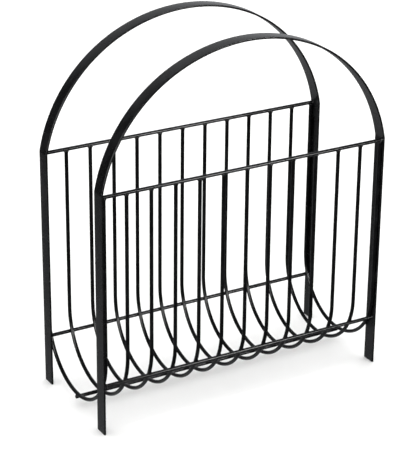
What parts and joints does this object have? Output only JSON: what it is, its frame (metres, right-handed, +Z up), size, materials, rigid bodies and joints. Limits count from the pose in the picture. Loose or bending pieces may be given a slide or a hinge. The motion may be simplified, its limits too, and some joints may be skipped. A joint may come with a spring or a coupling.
{
  "type": "magazine rack",
  "caption": "Free-standing wire magazine rack: two flat-bar arches joined by wire rails, with U-shaped wire ribs hanging between them as the basket.",
  "frame": {"origin": "on the surface that the rack stands on, below the centre of the rack", "axes": "+X along the rack's length, -Y towards its front arch, +Z up"},
  "size_m": [0.315, 0.132, 0.376],
  "materials": {
    "coated_bar": "satin black powder coat on flat mild steel bar",
    "coated_wire": "satin black powder coat on drawn mild steel wire",
    "coated_weld": "satin black powder coat over weld beads"
  },
  "bodies": {
    "root": {"arch_frame_front": "coated_bar", "arch_frame_back": "coated_bar", "top_rail_front": "coated_wire", "top_rail_back": "coated_wire", "low_rail_front": "coated_wire", "low_rail_back": "coated_wire", "keel_rod": "coated_wire", "rib_01": "coated_wire", "rib_02": "coated_wire", "rib_03": "coated_wire", "rib_04": "coated_wire", "rib_05": "coated_wire", "rib_06": "coated_wire", "rib_07": "coated_wire", "rib_08": "coated_wire", "rib_09": "coated_wire", "rib_10": "coated_wire", "rib_11": "coated_wire", "rib_12": "coated_wire", "rib_13": "coated_wire", "rib_top_welds": "coated_weld", "rib_low_rail_welds": "coated_weld", "keel_welds": "coated_weld", "top_rail_end_welds": "coated_weld", "low_rail_end_welds": "coated_weld"}
  },
  "joints": []
}
